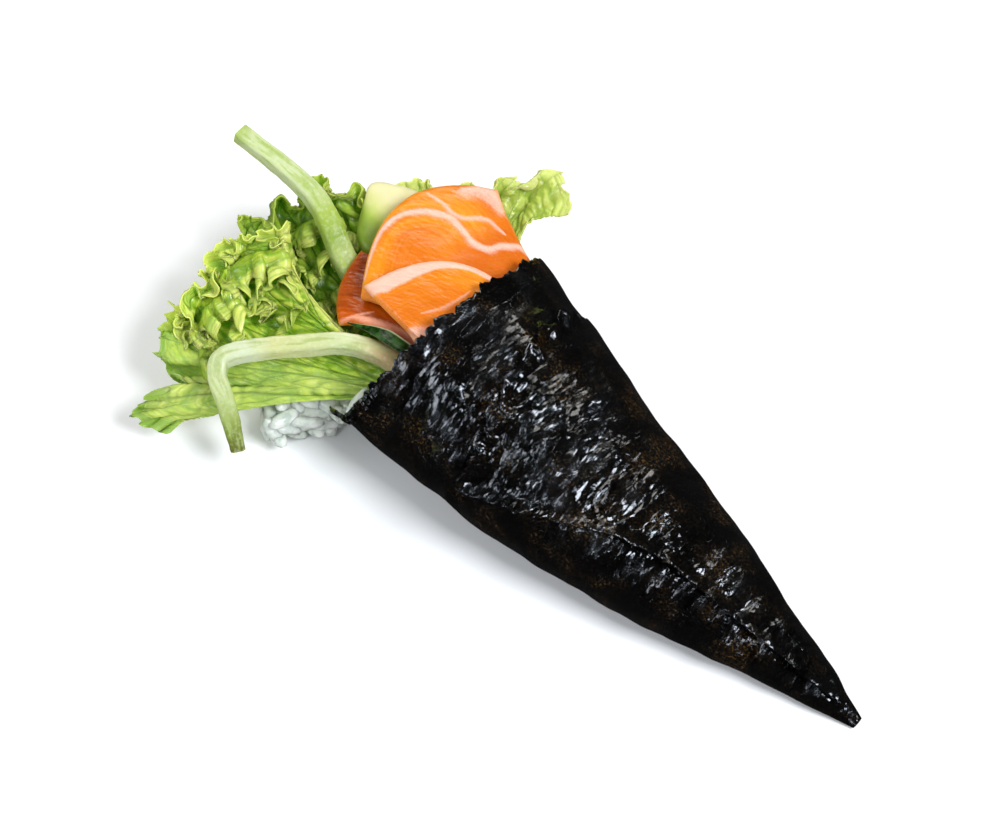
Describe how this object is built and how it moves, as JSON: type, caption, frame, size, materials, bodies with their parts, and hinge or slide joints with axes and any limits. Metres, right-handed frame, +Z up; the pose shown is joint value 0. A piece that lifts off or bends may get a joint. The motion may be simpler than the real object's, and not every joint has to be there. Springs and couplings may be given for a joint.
{
  "type": "salmon temaki hand roll",
  "caption": "Cone of roasted nori rolled round sushi rice, lying on its side, with salmon, lettuce, cucumber and avocado spilling from its mouth.",
  "frame": {"origin": "middle of the bounding box's underside, on the surface that the roll lies on", "axes": "+X along the cone from its open mouth to its closed tip, +Z up, +Y towards the side where the sheet's outer turn comes round"},
  "size_m": [0.1662, 0.094, 0.0384],
  "materials": {
    "roasted_nori": "dry, crinkled, faintly glossy",
    "cooked_rice": "moist, translucent",
    "lettuce": "moist, blistered, translucent",
    "lettuce_inner": "moist, blistered, translucent",
    "lettuce_pale": "moist, blistered, translucent",
    "raw_salmon": "wet, with pale fat lines",
    "raw_salmon_dark": "wet",
    "cucumber_flesh": "wet, translucent, striped along",
    "cucumber_skin": "glossy",
    "avocado_flesh": "soft, creamy"
  },
  "bodies": {
    "root": {"nori_wrap": "roasted_nori", "sushi_rice": "cooked_rice", "lettuce_leaf_front": "lettuce", "lettuce_leaf_middle": "lettuce_inner", "lettuce_leaf_back": "lettuce_pale", "salmon_slice_front": "raw_salmon", "salmon_slice_main": "raw_salmon", "salmon_slice_under": "raw_salmon_dark", "cucumber_stick_straight": "cucumber_flesh", "cucumber_stick_bent": "cucumber_flesh", "cucumber_skin_strip": "cucumber_skin", "avocado_slice": "avocado_flesh"}
  },
  "joints": []
}
